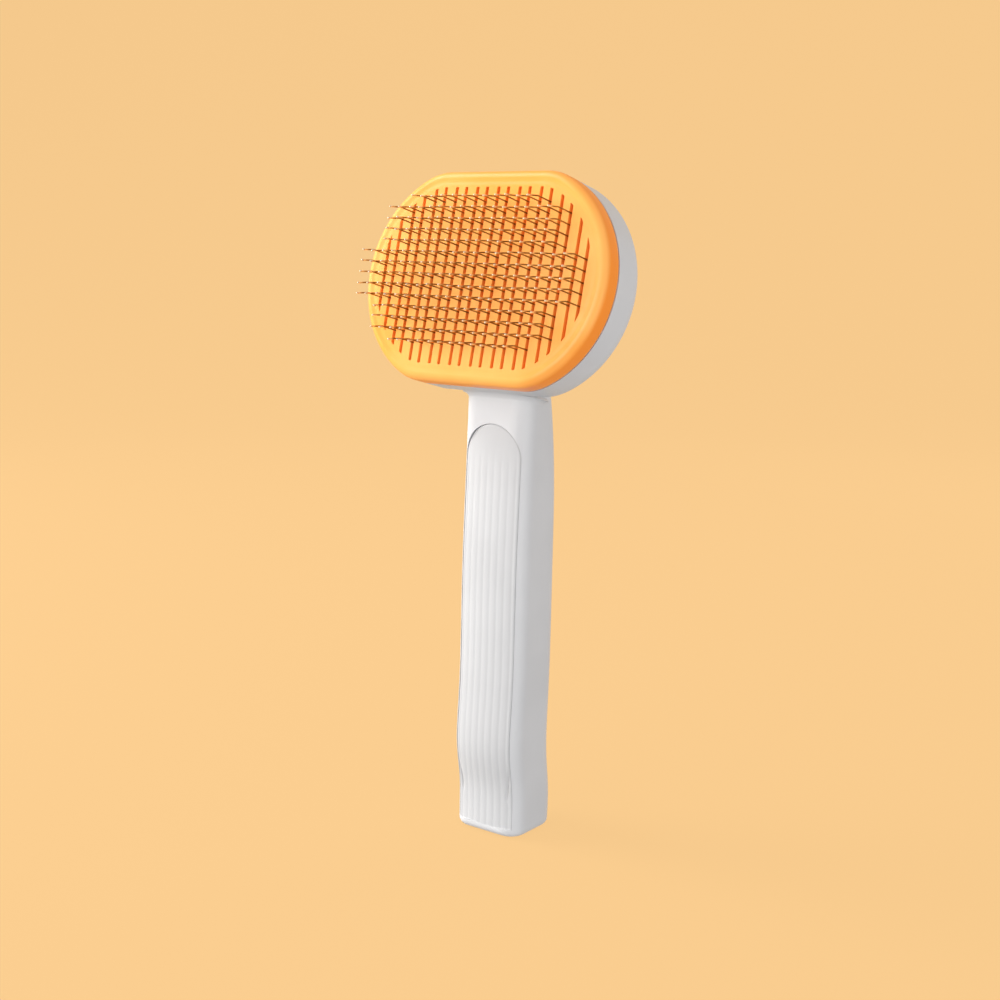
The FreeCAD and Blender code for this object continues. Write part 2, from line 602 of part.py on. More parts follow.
def make_screws(name, shank, head, seat_depth, across, rise, forward):
    """Four screws as separate solids. Shank and head are (radius, length), the head before or behind its seat."""
    shank_radius, shank_length = shank
    head_radius, head_height = head
    screws = []
    for side, level, tag in four_corners():
        x = "%d * %s" % (side, across)
        y = "%d * %s" % (level, rise)
        if forward:
            shank_base = "-%s - %s" % (seat_depth, shank_length)
            head_base = "-%s" % seat_depth
        else:
            shank_base = "-%s" % seat_depth
            head_base = "-%s - %s" % (seat_depth, head_height)
        rod = make_cylinder("%s_shank_%s" % (name, tag), shank_radius, shank_length, (x, y, shank_base))
        disc = make_cylinder("%s_head_%s" % (name, tag), head_radius, head_height, (x, y, head_base))
        screws.append(join("%s_%s" % (name, tag), [rod, disc]))
    node = group(name, screws)
    seat_on_head(node)
    return node


def make_bristle_column(column):
    """A column of wire staples: two legs with bent tips each, joined by a crown behind the carrier."""
    name = "bristle_column_%02d" % (column + 1)
    first, last = rows_that_fit(column)
    body = make_body(name)
    path = make_sketch(body, name + "_path", "YZ_Plane", "sizes.legGap / 2")
    add_leg_path(path)
    section = make_sketch(body, name + "_section", "XY_Plane", "-" + CROWN_DEPTH)
    add_circle(section, "sizes.wireRadius", "sizes.legGap / 2", "0")
    leg = body.newObject("PartDesign::AdditivePipe", name + "_leg")
    leg.Profile = section
    leg.Spine = (path, ["Edge1", "Edge2", "Edge3"])
    body.Tip = leg
    document.recompute()
    mirror = body.newObject("PartDesign::Mirrored", name + "_other_leg")
    mirror.Originals = [leg]
    mirror.MirrorPlane = (origin_part(body, "YZ_Plane"), [""])
    body.Tip = mirror
    crown_sketch = make_sketch(body, name + "_crown_section", "YZ_Plane", "0")
    add_circle(crown_sketch, "sizes.wireRadius", "0", "-" + CROWN_DEPTH)
    crown = extrude(body, "Pad", name + "_crown", crown_sketch, "sizes.legGap + 2 * sizes.wireRadius",
                    midplane=True)
    document.recompute()
    rows = body.newObject("PartDesign::LinearPattern", name + "_rows")
    rows.TransformMode = "Whole shape"
    rows.Direction = (origin_part(body, "Y_Axis"), [""])
    rows.Mode = "Spacing"
    rows.Occurrences = last - first + 1
    rows.setExpression("Offset", ROW_PITCH)
    body.Tip = rows
    seat_on_head(body, column_middle(column), row_middle(last))
    return body


def add_leg_path(sketch):
    """Middle line of one leg: straight out of the carrier, a bend, and a straight tip that leans down."""
    bend = math.radians(measure("sizes.bendAngle"))
    radius = measure("sizes.bendRadius")
    foot = -measure(CROWN_DEPTH)
    knee = measure("sizes.straightLength")
    tip = measure("sizes.bristleLength")
    knee_end = FreeCAD.Vector(-radius * (1 - math.cos(bend)), knee + radius * math.sin(bend), 0)
    rise = tip - knee_end.y
    tip_end = FreeCAD.Vector(knee_end.x - rise * math.tan(bend), tip, 0)
    circle = Part.Circle(FreeCAD.Vector(-radius, knee, 0), FreeCAD.Vector(0, 0, 1), radius)
    sketch.addGeometry([
        Part.LineSegment(FreeCAD.Vector(0, foot, 0), FreeCAD.Vector(0, knee, 0)),
        Part.ArcOfCircle(circle, 0, bend),
        Part.LineSegment(knee_end, tip_end),
    ], False)
    sketch.addConstraint(Sketcher.Constraint("Vertical", 0))
    sketch.addConstraint(Sketcher.Constraint("PointOnObject", 0, 1, -2))
    sketch.addConstraint(Sketcher.Constraint("Tangent", 0, 2, 1, 1))
    sketch.addConstraint(Sketcher.Constraint("Tangent", 1, 2, 2, 1))
    hold(sketch, "foot", CROWN_DEPTH, "DistanceY", 0, 1, -1, 1)
    hold(sketch, "knee", "sizes.straightLength", "DistanceY", -1, 1, 0, 2)
    hold(sketch, "bend", "sizes.bendRadius", "Radius", 1)
    hold(sketch, "tip", "sizes.bristleLength", "DistanceY", -1, 1, 2, 2)
    hold(sketch, "lean", "sizes.bendAngle * 1 deg", "Angle", 1)


LEVELS = ["tail", "heel", "waist", "palm", "grip", "middle", "neck", "root"]
CURVE_DEGREE = 3


def level_height(level):
    if level == "tail":
        return "0"
    if level in ("neck", "root"):
        return "sizes.headHeight - sizes.%sBelow" % level
    return "sizes.%sLevel" % level


def add_side_curve(sketch, distance, direction, tag):
    """A smooth curve up the handle. Its poles stand at the levels, each held to the sheet."""
    places = [(direction * measure(distance(level)), measure(level_height(level))) for level in LEVELS]
    poles = [FreeCAD.Vector(x, y, 0) for x, y in places]
    spans = len(poles) - CURVE_DEGREE
    ends = CURVE_DEGREE + 1
    spline = Part.BSplineCurve(poles, [ends] + [1] * (spans - 1) + [ends],
                               [float(knot) for knot in range(spans + 1)], False, CURVE_DEGREE)
    curve = sketch.addGeometry(spline, False)
    circles = []
    for number, (level, pole) in enumerate(zip(LEVELS, poles)):
        circle = sketch.addGeometry(Part.Circle(pole, FreeCAD.Vector(0, 0, 1), 1.0), True)
        circles.append(circle)
        kind = "InternalAlignment:Sketcher::BSplineControlPoint"
        sketch.addConstraint(Sketcher.Constraint(kind, circle, 3, curve, number))
        if number:
            sketch.addConstraint(Sketcher.Constraint("Equal", circles[0], circle))
        across = distance(level)
        name = level.capitalize() + tag
        if direction > 0:
            hold(sketch, "out" + name, across, "DistanceX", -1, 1, circle, 3)
        else:
            hold(sketch, "out" + name, across, "DistanceX", circle, 3, -1, 1)
        if level == "tail":
            sketch.addConstraint(Sketcher.Constraint("PointOnObject", circle, 3, -1))
        else:
            hold(sketch, "up" + name, level_height(level), "DistanceY", -1, 1, circle, 3)
    sketch.addConstraint(Sketcher.Constraint("Weight", circles[0], 1.0))
    return curve


def side_profile_body(name, half_width, front, back):
    """A bar with the handle's side profile. Front and back are distances from the handle's axis."""
    body = make_body(name)
    sketch = make_sketch(body, name + "_profile", "YZ_Plane")
    ahead = add_side_curve(sketch, front, -1, "Front")
    behind = add_side_curve(sketch, back, 1, "Back")
    for end, height in ((1, "0"), (2, level_height("root"))):
        start = FreeCAD.Vector(-measure(front(LEVELS[0 if end == 1 else -1])), measure(height), 0)
        stop = FreeCAD.Vector(measure(back(LEVELS[0 if end == 1 else -1])), measure(height), 0)
        line = sketch.addGeometry(Part.LineSegment(start, stop), False)
        sketch.addConstraint(Sketcher.Constraint("Coincident", ahead, end, line, 1))
        sketch.addConstraint(Sketcher.Constraint("Coincident", behind, end, line, 2))
    extrude(body, "Pad", name + "_bar", sketch, "2 * (%s)" % half_width, midplane=True)
    return body


def runs_up(edge):
    """True for the long edges of the handle."""
    box = edge.BoundBox
    return box.ZLength > 2 * max(box.XLength, box.YLength)


def make_handle_blank():
    """The handle's outside, before it is hollowed."""
    body = side_profile_body("handle_blank", "sizes.handleHalfWidth",
                             lambda level: "sizes.%sFront" % level, lambda level: "sizes.%sBack" % level)
    long_edges = round_edges(body, "handle_long_edges", body.Tip, "sizes.handleRound", runs_up)
    round_edges(body, "handle_tail_edge", long_edges, "sizes.tailRound", all_at_height(0))
    return body


def cover_region(name, gap):
    """Where the front cover lies: an arch-topped prism, as deep as the cover behind the front."""
    slab = side_profile_body(name + "_slab", "sizes.handleHalfWidth + 2",
                             lambda level: "sizes.%sFront + 2" % level,
                             lambda level: "sizes.coverThickness - sizes.%sFront" % level)
    body = make_body(name + "_arch")
    sketch = make_sketch(body, name + "_arch_outline", "XZ_Plane", "-sizes.coverReach")
    add_arch(sketch, gap)
    extrude(body, "Pad", name + "_arch_block", sketch, "2 * sizes.coverReach")
    return [slab, body]


def add_arch(sketch, gap):
    """The cover's outline: straight sides, a half-round top and a flat foot."""
    half = measure("sizes.coverHalfWidth - %s" % gap)
    top = measure("%s - %s" % (COVER_TOP, gap))
    foot = measure("sizes.coverFoot + %s" % gap)
    spring_line = top - half
    vector = FreeCAD.Vector
    circle = Part.Circle(vector(0, spring_line, 0), vector(0, 0, 1), half)
    sketch.addGeometry([
        Part.LineSegment(vector(-half, foot, 0), vector(half, foot, 0)),
        Part.LineSegment(vector(half, foot, 0), vector(half, spring_line, 0)),
        Part.ArcOfCircle(circle, 0, math.pi),
        Part.LineSegment(vector(-half, spring_line, 0), vector(-half, foot, 0)),
    ], False)
    sketch.addConstraint(Sketcher.Constraint("Coincident", 0, 2, 1, 1))
    sketch.addConstraint(Sketcher.Constraint("Tangent", 1, 2, 2, 1))
    sketch.addConstraint(Sketcher.Constraint("Tangent", 2, 2, 3, 1))
    sketch.addConstraint(Sketcher.Constraint("Coincident", 3, 2, 0, 1))
    sketch.addConstraint(Sketcher.Constraint("Horizontal", 0))
    sketch.addConstraint(Sketcher.Constraint("Vertical", 1))
    sketch.addConstraint(Sketcher.Constraint("PointOnObject", 2, 3, -2))
    hold(sketch, "half", "sizes.coverHalfWidth - %s" % gap, "Radius", 2)
    hold(sketch, "foot", "sizes.coverFoot + %s" % gap, "DistanceY", -1, 1, 0, 1)
    hold(sketch, "springLine", COVER_TOP + " - sizes.coverHalfWidth", "DistanceY", -1, 1, 2, 3)


def make_front_cover(handle):
    """Front cover: the part of the handle's skin inside the arch, with two stiffening ribs behind."""
    slab, arch = cover_region("cover", "sizes.coverGap")
    skin = overlap("handle_front_cover", [handle, slab, arch])
    return skin


def make_bowl(name, front, side_inset, dome_depth, back_depth, back_inset, corner):
    """A bowl with straight sides and a domed back that ends in a flat."""
    body = make_body(name)
    wall = outline_sketch(body, name + "_front_outline", front, [side_inset])
    extrude(body, "Pad", name + "_wall", wall, "%s - (%s)" % (dome_depth, front), reverse=True)
    start = outline_sketch(body, name + "_dome_outline", dome_depth, [side_inset])
    end = outline_sketch(body, name + "_back_outline", back_depth, [back_inset], corner)
    loft(body, name + "_dome", start, [end], ruled=True)
    return body


def make_main_shell(handle):
    """One white moulding: the bowl behind the comb plate, the neck and the hollow handle."""
    outside = make_bowl("bowl_blank", SHELL_FRONT, "0", "sizes.bowlDepth", PLATEAU_DEPTH,
                        "sizes.plateauInset", "sizes.plateauCorner")
    dome = outside.Tip
    edge_depth = -measure("sizes.bowlDepth")
    back_depth = -measure(PLATEAU_DEPTH)
    softened = round_edges(outside, "bowl_back_round", dome, "sizes.backRound", all_at_height(edge_depth))
    round_edges(outside, "bowl_plateau_round", softened, "sizes.plateauRound", all_at_height(back_depth))
    seat_on_head(outside)

    cavity = make_bowl("bowl_cavity", SHELL_FRONT + " - 1", "sizes.shellWall",
                       "sizes.bowlDepth - sizes.shellWall", CAVITY_BACK, "sizes.plateauInset",
                       "sizes.plateauCorner")
    seat_on_head(cavity)
    button_hole = make_cylinder("button_hole", "sizes.buttonRadius + sizes.shellGap",
                                "2 * sizes.shellWall + 2", ("0", "0", "-%s - 1" % PLATEAU_DEPTH))
    bosses = []
    pilots = []
    boss_end = "(sizes.bowlDepth + sizes.shellWall)"
    for side, level, tag in four_corners():
        x = "%d * %s" % (side, BOSS_ACROSS)
        y = "%d * %s" % (level, BOSS_RISE)
        bosses.append(make_cylinder("screw_boss_" + tag, "sizes.bossRadius", "%s - %s" % (boss_end, STACK_BACK),
                                    (x, y, "-" + boss_end)))
        pilot_depth = "(%s + sizes.screwReach + 1)" % STACK_BACK
        pilots.append(make_cylinder("screw_pilot_" + tag, "sizes.screwRadius + sizes.pilotGap",
                                    "sizes.screwReach + 2", (x, y, "-" + pilot_depth)))
    head_tools = {"button_hole_tool": [button_hole], "screw_bosses": bosses, "screw_pilots": pilots}
    placed = {name: group(name, pieces) for name, pieces in head_tools.items()}
    for tool in placed.values():
        seat_on_head(tool)

    channel = side_profile_body("handle_channel", "sizes.coverHalfWidth - sizes.ledge",
                                lambda level: "sizes.%sFront + 2" % level,
                                lambda level: "sizes.%sBack - sizes.shellWall" % level)
    limit = make_body("channel_limit")
    sketch = make_sketch(limit, "channel_limit_outline", "XZ_Plane", "-sizes.coverReach")
    add_arch(sketch, "sizes.ledge")
    extrude(limit, "Pad", "channel_limit_block", sketch, "2 * sizes.coverReach")
    hollow = overlap("handle_hollow", [channel, limit])
    recess = overlap("cover_recess", cover_region("recess", "0"))

    blank = join("shell_blank", [outside, handle])
    hollows = join("shell_hollows", [cavity, hollow, recess, placed["button_hole_tool"]])
    hollowed = cut("shell_hollowed", blank, hollows)
    bossed = join("shell_bossed", [hollowed, placed["screw_bosses"]])
    return cut("main_shell", bossed, placed["screw_pilots"])


def check_document():
    for thing in document.Objects:
        if "Invalid" in thing.State or "Error" in thing.State:
            raise RuntimeError("%s did not compute: %s" % (thing.Name, thing.State))


def write_nodes(nodes):
    os.makedirs("parts", exist_ok=True)
    for name, feature in nodes.items():
        feature.Label = name
        shape = feature.Shape
        if shape.isNull() or not shape.isValid():
            raise RuntimeError("%s has no sound shape" % name)
        shape.exportStep("parts/%s.step" % name)
        print("%-20s %3d solids %10.1f mm3" % (name, len(shape.Solids), shape.Volume))


def main():
    handle = make_handle_blank()
    nodes = {
        "main_shell": make_main_shell(handle),
        "handle_front_cover": make_front_cover(handle),
        "bristle_cushion": make_layer("bristle_cushion", "sizes.cushionDepth", "sizes.cushionThickness",
                                      "sizes.screwHeadRadius + sizes.shellGap"),
        "bristle_carrier": make_carrier(),
        "bristle_retainer": make_retainer(),
        "carrier_screws": make_screws("carrier_screws", ("sizes.screwRadius", CARRIER_SCREW),
                                      ("sizes.screwHeadRadius", "sizes.screwHeadHeight"),
                                      "(%s + sizes.screwSink)" % CARRIER_DEPTH,
                                      BOSS_ACROSS, BOSS_RISE, True),
        "comb_plate": make_comb_plate(),
        "pusher_plate": make_pusher_plate(),
        "push_button": make_push_button(),
        "plate_screws": make_screws("plate_screws", ("sizes.smallScrewRadius", "sizes.smallScrewLength"),
                                    ("sizes.smallHeadRadius", "sizes.smallHeadHeight"), PUSHER_BACK,
                                    BLADE_ACROSS, "sizes.bladeRise", False),
        "return_spring": make_return_spring(),
    }
    for column in range(COLUMNS):
        nodes["bristle_column_%02d" % (column + 1)] = make_bristle_column(column)
    document.recompute()
    check_document()
    write_nodes(nodes)


main()
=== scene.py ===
import bmesh
import bpy
import numpy as np
from mathutils import Matrix, Vector


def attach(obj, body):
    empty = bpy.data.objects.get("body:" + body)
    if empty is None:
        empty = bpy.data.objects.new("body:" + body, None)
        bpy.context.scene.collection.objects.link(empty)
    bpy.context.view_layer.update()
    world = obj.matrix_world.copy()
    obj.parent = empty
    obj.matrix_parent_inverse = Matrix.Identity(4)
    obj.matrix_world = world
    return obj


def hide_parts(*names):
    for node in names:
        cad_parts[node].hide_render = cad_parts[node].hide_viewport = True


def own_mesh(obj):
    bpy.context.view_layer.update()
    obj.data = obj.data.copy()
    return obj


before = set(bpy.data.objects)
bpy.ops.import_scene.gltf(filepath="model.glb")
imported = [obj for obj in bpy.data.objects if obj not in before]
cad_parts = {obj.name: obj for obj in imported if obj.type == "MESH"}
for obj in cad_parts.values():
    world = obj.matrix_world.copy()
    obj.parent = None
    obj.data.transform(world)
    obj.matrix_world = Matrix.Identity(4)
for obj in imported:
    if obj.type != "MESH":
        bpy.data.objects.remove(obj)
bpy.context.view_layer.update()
print("loaded", len(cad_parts), "nodes")

mm = 0.001

head = {
    "middle": (0.0, -15.5, 168.0),  # middle of the comb plate's face, mm
    "lean": 14.0,                   # degrees that the face looks up
}


class Link:
    # one output socket, so that shader maths reads as a Python expression
    def __init__(self, paint, out):
        self.paint = paint
        self.out = out

    def both(self, operation, first, second):
        return self.paint.node("ShaderNodeMath", {"operation": operation}, {0: first, 1: second})

    def __add__(self, other):
        return self.both("ADD", self, other)

    def __radd__(self, other):
        return self.both("ADD", other, self)

    def __sub__(self, other):
        return self.both("SUBTRACT", self, other)

    def __rsub__(self, other):
        return self.both("SUBTRACT", other, self)

    def __mul__(self, other):
        return self.both("MULTIPLY", self, other)

    def __rmul__(self, other):
        return self.both("MULTIPLY", other, self)


class Paint:
    # a material with one Principled shader
    def __init__(self, name):
        self.material = bpy.data.materials.new(name)
        self.material.use_nodes = True
        self.tree = self.material.node_tree
        self.shader = self.tree.nodes["Principled BSDF"]
        self.place = self.node("ShaderNodeTexCoord", output="Object")

    def node(self, kind, settings=None, inputs=None, output=0):
        # any node: its settings first, then a value or a link for each named input
        made = self.tree.nodes.new(kind)
        for key, value in (settings or {}).items():
            setattr(made, key, value)
        for key, value in (inputs or {}).items():
            self.feed(made.inputs[key], value)
        return Link(self, made.outputs[output])

    def feed(self, socket, value):
        if isinstance(value, Link):
            self.tree.links.new(value.out, socket)
        else:
            socket.default_value = value

    def varying(self, **values):
        # links for what changes over the surface
        for key, value in values.items():
            self.feed(self.shader.inputs[key.replace("_", " ")], value)

    def uniform(self, **values):
        # plain values on the shader's own sockets
        for key, value in values.items():
            self.shader.inputs[key.replace("_", " ")].default_value = value

    def noise(self, scale, detail):
        return self.node("ShaderNodeTexNoise", {}, {"Vector": self.place, "Scale": scale, "Detail": detail})

    def between(self, amount, first, second):
        # first colour where amount is 0, second where it is 1
        first, second = (end if isinstance(end, Link) else (*end, 1) for end in (first, second))
        return self.node("ShaderNodeMix", {"data_type": "RGBA"}, {0: amount, 6: first, 7: second}, 2)

    def steps(self, amount, low, high):
        # 0 below low, 1 above high, smooth between
        return self.node("ShaderNodeMapRange", {"interpolation_type": "SMOOTHSTEP"},
                         {"Value": amount, "From Min": low, "From Max": high, "To Min": 0.0, "To Max": 1.0})

    def bump(self, height, distance):
        return self.node("ShaderNodeBump", {}, {"Height": height, "Distance": distance, "Strength": 1.0})


def leaning():
    # the face's own directions as cosine and sine of its lean
    lean = np.radians(head["lean"])
    return np.cos(lean), np.sin(lean)


def headHeight(paint):
    # how far a point stands ahead of the comb plate's face, in metres:
    # its place along the face's outward normal, less the face's own
    cosine, sine = leaning()
    out = (0.0, -cosine, sine)
    height = paint.node("ShaderNodeVectorMath", {"operation": "DOT_PRODUCT"},
                        {0: paint.place, 1: out}, "Value")
    return height - float(np.dot(head["middle"], out)) * mm


moulding = {
    "drift": (34.0, 3.0), "fine": (2600.0, 1.0), "wide": (420.0, 2.0),  # noise: scale, detail
    "cloud": (0.36, 0.64),                                              # range that the drift is spread over
    "roughWide": 0.10, "roughCloud": 0.06, "fineShare": 0.7,            # shares in the roughness and the grain
    "wall": (0.7, 2.6),                                                 # depths where the side wall's painted shade starts, mm
    "ior": 1.49, "specular": 0.36, "coatRough": 0.18,
}


def mouldedPlastic(name, deep, pale, rough, grain, coat=0.0, wall=None, glow=0.0):
    # moulded plastic: slow colour drift, fine spark-eroded grain, roughness that varies a little;
    # wall is a deeper orange painted as shade on the side wall behind the face, glow a painted glow that stands
    # in for the light that comes through
    paint = Paint(name)
    cloud = paint.steps(paint.noise(*moulding["drift"]), *moulding["cloud"])
    fine = paint.noise(*moulding["fine"])
    wide = paint.noise(*moulding["wide"])
    colour = paint.between(cloud, deep, pale)
    # painted shade: everything behind the face, the side wall, the legs and the button, turns the deeper wall
    # colour
    if wall:
        wallShade = paint.steps(0 - headHeight(paint), *(depth * mm for depth in moulding["wall"]))
        colour = paint.between(wallShade, colour, wall)
    # painted light: the plastic glows a little in its own deep colour, standing in for light that comes through
    # it
    if glow:
        paint.uniform(Emission_Color=(*deep, 1), Emission_Strength=glow)
    roughness = rough + moulding["roughWide"] * (wide - 0.5) + moulding["roughCloud"] * (cloud - 0.5)
    height = fine * moulding["fineShare"] + wide * (1 - moulding["fineShare"])
    paint.varying(Base_Color=colour, Roughness=roughness, Normal=paint.bump(height, grain * mm))
    paint.uniform(IOR=moulding["ior"], Specular_IOR_Level=moulding["specular"],
                  Coat_Weight=coat, Coat_Roughness=moulding["coatRough"])
    return paint.material


drawing = {
    "lines": (900.0, 2.0), "stain": (160.0, 2.0),  # noise: scale, detail
    "stained": (0.40, 0.62), "roughLines": 0.16,   # range that the stain is spread over, share in the roughness
    "highlightBlend": (-1.2, 0.8),                       # mm below and above the place where the painted highlight on the end starts
}


def drawnWire(name, dark, bright, rough, tip=None):
    # drawn steel: fine change in roughness, a stain in patches, which on the bristles is warmed by painted
    # reflection;
    # tip is a paler end, a painted highlight, from its height ahead of the face in mm
    paint = Paint(name)
    lines = paint.noise(*drawing["lines"])
    stain = paint.steps(paint.noise(*drawing["stain"]), *drawing["stained"])
    colour = paint.between(stain, dark, bright)
    # painted highlight: the wire turns pale towards its end
    if tip:
        tipHighlight = paint.steps(headHeight(paint), *((tip["from"] + part) * mm for part in drawing["highlightBlend"]))
        colour = paint.between(tipHighlight, colour, tip["colour"])
    paint.varying(Base_Color=colour, Roughness=rough + drawing["roughLines"] * (lines - 0.5))
    paint.uniform(Metallic=1.0)
    return paint.material


plastics = {
    # grain: depth of the spark-eroded surface, mm
    # orangeFace's wall colour is painted shade for what lies behind the comb plate's face
    "orangeFace": {"deep": (1.0, 0.375, 0.060), "pale": (1.0, 0.450, 0.105), "wall": (1.0, 0.275, 0.018),
                   "rough": 0.38, "grain": 0.012, "coat": 0.12, "glow": 0.06},
    "whiteShell": {"deep": (0.640, 0.645, 0.655), "pale": (0.675, 0.678, 0.686),
                   "rough": 0.42, "grain": 0.012},
    "whiteGrip": {"deep": (0.555, 0.558, 0.565), "pale": (0.585, 0.588, 0.594),
                  "rough": 0.46, "grain": 0.016},
    "innerOrange": {"deep": (0.90, 0.22, 0.015), "pale": (0.95, 0.26, 0.02), "rough": 0.50, "grain": 0.014},
    # the cushion's glow is painted light, brightening it where it shows through the slots
    "cushionRubber": {"deep": (0.98, 0.22, 0.008), "pale": (1.0, 0.26, 0.012), "rough": 0.62, "grain": 0.03,
                      "glow": 0.15},
}
steels = {
    # bristleSteel's browns are painted reflection of the orange plate and the dark slots, over a stain in
    # patches
    "bristleSteel": {"dark": (0.24, 0.135, 0.035), "bright": (0.40, 0.26, 0.10), "rough": 0.42,
                     # the tip's pale colour is a painted highlight on the wires' ends
                     "tip": {"from": 9.4, "colour": (1.0, 0.95, 0.90)}},
    "springSteel": {"dark": (0.42, 0.42, 0.42), "bright": (0.58, 0.58, 0.57), "rough": 0.28},
    "screwSteel": {"dark": (0.50, 0.48, 0.45), "bright": (0.64, 0.62, 0.58), "rough": 0.32},
}
orangeFace, whiteShell, whiteGrip, innerOrange, cushionRubber = [
    mouldedPlastic(name, **values) for name, values in plastics.items()]
bristleSteel, springSteel, screwSteel = [drawnWire(name, **values) for name, values in steels.items()]
print("materials made")


def onHead(across, up, depth):
    # head place to object place: the middle, plus across along X, up along the leaning height,
    # depth square to the face and behind it
    across, up, depth = np.broadcast_arrays(across, up, depth)
    cosine, sine = leaning()
    x0, y0, z0 = head["middle"]
    return np.stack([x0 + across, y0 + up * sine + depth * cosine, z0 + up * cosine - depth * sine], -1)


def gridFaces(rows, columns, around=False):
    # quads of a grid of rows by columns of points; around joins the last column to the first
    index = np.arange(rows * columns).reshape(rows, columns)
    if around:
        index = np.concatenate([index, index[:, :1]], 1)
    corners = index[:-1, :-1], index[:-1, 1:], index[1:, 1:], index[1:, :-1]
    return np.stack(corners, -1).reshape(-1, 4)


def tubeAround(loops):
    # loops: rows of closed rings of points; gives points and faces, with a cap over each end ring
    rows, columns = loops.shape[:2]
    faces = gridFaces(rows, columns, True).tolist()
    ring = np.arange(columns)
    faces.append(ring[::-1].tolist())
    faces.append((ring + (rows - 1) * columns).tolist())
    return loops.reshape(-1, 3), faces


def outwards(mesh):
    # doubles merged, then all faces turned outwards
    work = bmesh.new()
    work.from_mesh(mesh)
    bmesh.ops.remove_doubles(work, verts=work.verts, dist=1e-7)
    bmesh.ops.recalc_face_normals(work, faces=work.faces)
    work.to_mesh(mesh)
    work.free()


def makePiece(name, parts, material, smooth=38.0):
    # parts: list of (points in mm, faces); makes one mesh, in metres, with its normals outwards
    # and its edges smooth under the given angle
    points, faces, start = [], [], 0
    for partPoints, partFaces in parts:
        points.append(np.asarray(partPoints, float).reshape(-1, 3))
        faces += [[corner + start for corner in face] for face in partFaces]
        start += len(points[-1])
    mesh = bpy.data.meshes.new(name)
    mesh.from_pydata((np.concatenate(points) * mm).tolist(), [], faces)
    outwards(mesh)
    mesh.materials.append(material)
    piece = bpy.data.objects.new(name, mesh)
    bpy.context.collection.objects.link(piece)
    mesh.shade_smooth()
    mesh.set_sharp_from_angle(angle=np.radians(smooth))
    return piece


def applied(piece):
    # the piece with its modifiers made final
    bpy.context.view_layer.update()
    final = bpy.data.meshes.new_from_object(piece.evaluated_get(bpy.context.evaluated_depsgraph_get()))
    piece.modifiers.clear()
    piece.data = final
    return piece


plate = {
    "arcRadius": 32.5, "arcCentre": 10.1,  # side arcs of the outline
    "flatHeight": 30.9, "corner": 18.0,
    "fieldInset": 5.0,                     # outline to the slots' ends
    "rimDepth": 6.4, "rimRound": 2.4, "faceThickness": 1.8,
    "beadDip": 0.12,                       # shallow groove between the rim's bead and the slotted field
    "skirt": (2.3, 3.7, 15.2),             # inner sliding skirt: insets of its walls, depth of its end
    "slotWidth": 1.1, "slotTuck": 0.22,    # slot, and the cut across its corners
    "slotLip": 0.28, "lipAngle": 50.0,     # rounded edge, on corners sharper than this
    "columnPitch": 7.5, "legGap": 3.44, "columns": 10,
    "leg": (2.6, 8.0, 15.0, 10.0),         # flat leg: thickness, height, across, up
    "legDepths": (1.5, 6.0, 12.0, 19.4), "legTaper": (1.0, 1.0, 0.99, 0.97),
}


def columnAcross(column):
    # a staple column's place across, evenly either side of the middle
    return (column - (plate["columns"] - 1) / 2) * plate["columnPitch"]


def cornerCentre():
    # centre of a corner blend, which touches the flat and the side arc
    up = plate["flatHeight"] - plate["corner"]
    return plate["arcCentre"] + np.sqrt((plate["arcRadius"] - plate["corner"]) ** 2 - up ** 2), up


def plateOutline(count):
    # base points and outward normals: side arcs, corner blends and flats, in order round the plate
    cornerAcross, cornerUp = cornerCentre()
    turn = np.arctan2(cornerUp, cornerAcross - plate["arcCentre"])
    side = np.linspace(-turn, turn, count, endpoint=False)
    blend = np.linspace(turn, np.pi / 2, count // 2, endpoint=False)
    flat = np.linspace(1, -1, count // 2, endpoint=False)

    def arc(angle, radius, x, y):
        normal = np.stack([np.cos(angle), np.sin(angle)], -1)
        return np.array([x, y]) + radius * normal, normal

    right = arc(side, plate["arcRadius"], plate["arcCentre"], 0)
    upper = arc(blend, plate["corner"], cornerAcross, cornerUp)
    top = (np.stack([cornerAcross * flat, np.full(flat.shape, plate["flatHeight"])], -1),
           np.tile([0.0, 1.0], (len(flat), 1)))
    left = arc(np.pi - blend[::-1], plate["corner"], -cornerAcross, cornerUp)
    points = np.concatenate([right[0], upper[0], top[0], left[0]])
    normals = np.concatenate([right[1], upper[1], top[1], left[1]])
    lower = points * -1, normals * -1  # the plate is the same turned half round
    return np.concatenate([points, lower[0]]), np.concatenate([normals, lower[1]])


def fieldHeight(across):
    # half height of the slotted field at a place across: flat, then corner blend, then side arc
    inset = plate["fieldInset"]
    cornerAcross, cornerUp = cornerCentre()
    x = np.abs(across)
    flat = plate["flatHeight"] - inset
    blend = cornerUp + np.sqrt(np.clip((plate["corner"] - inset) ** 2 - (x - cornerAcross) ** 2, 0, None))
    arc = np.sqrt(np.clip((plate["arcRadius"] - inset) ** 2 - (x - plate["arcCentre"]) ** 2, 0, None))
    turn = np.arctan2(cornerUp, cornerAcross - plate["arcCentre"])
    blendEnd = plate["arcCentre"] + (plate["arcRadius"] - inset) * np.cos(turn)
    return np.where(x < cornerAcross, flat, np.where(x < blendEnd, blend, arc))


def plateProfile():
    # inset and depth, from the field's edge over the bead and round the rim to the back of the face
    dip, r, rim = plate["beadDip"], plate["rimRound"], plate["rimDepth"]
    bow = np.radians(np.linspace(0, 90, 9))
    face = [(4.7, 0), (4.4, 0.01), (4.0, dip * 0.5), (3.6, dip),
            (3.2, dip * 0.9), (2.8, dip * 0.5), (2.5, 0.02)]
    edge = np.stack([r - r * np.sin(bow), r - r * np.cos(bow)], -1).tolist()
    near, far, end = plate["skirt"]
    back = [(0, 3.4), (0, 4.8), (0, rim - 0.35), (0.1, rim - 0.1), (0.35, rim),
            (near, rim), (near, end), (far, end), (far, plate["faceThickness"])]
    return np.array(face + edge + back)


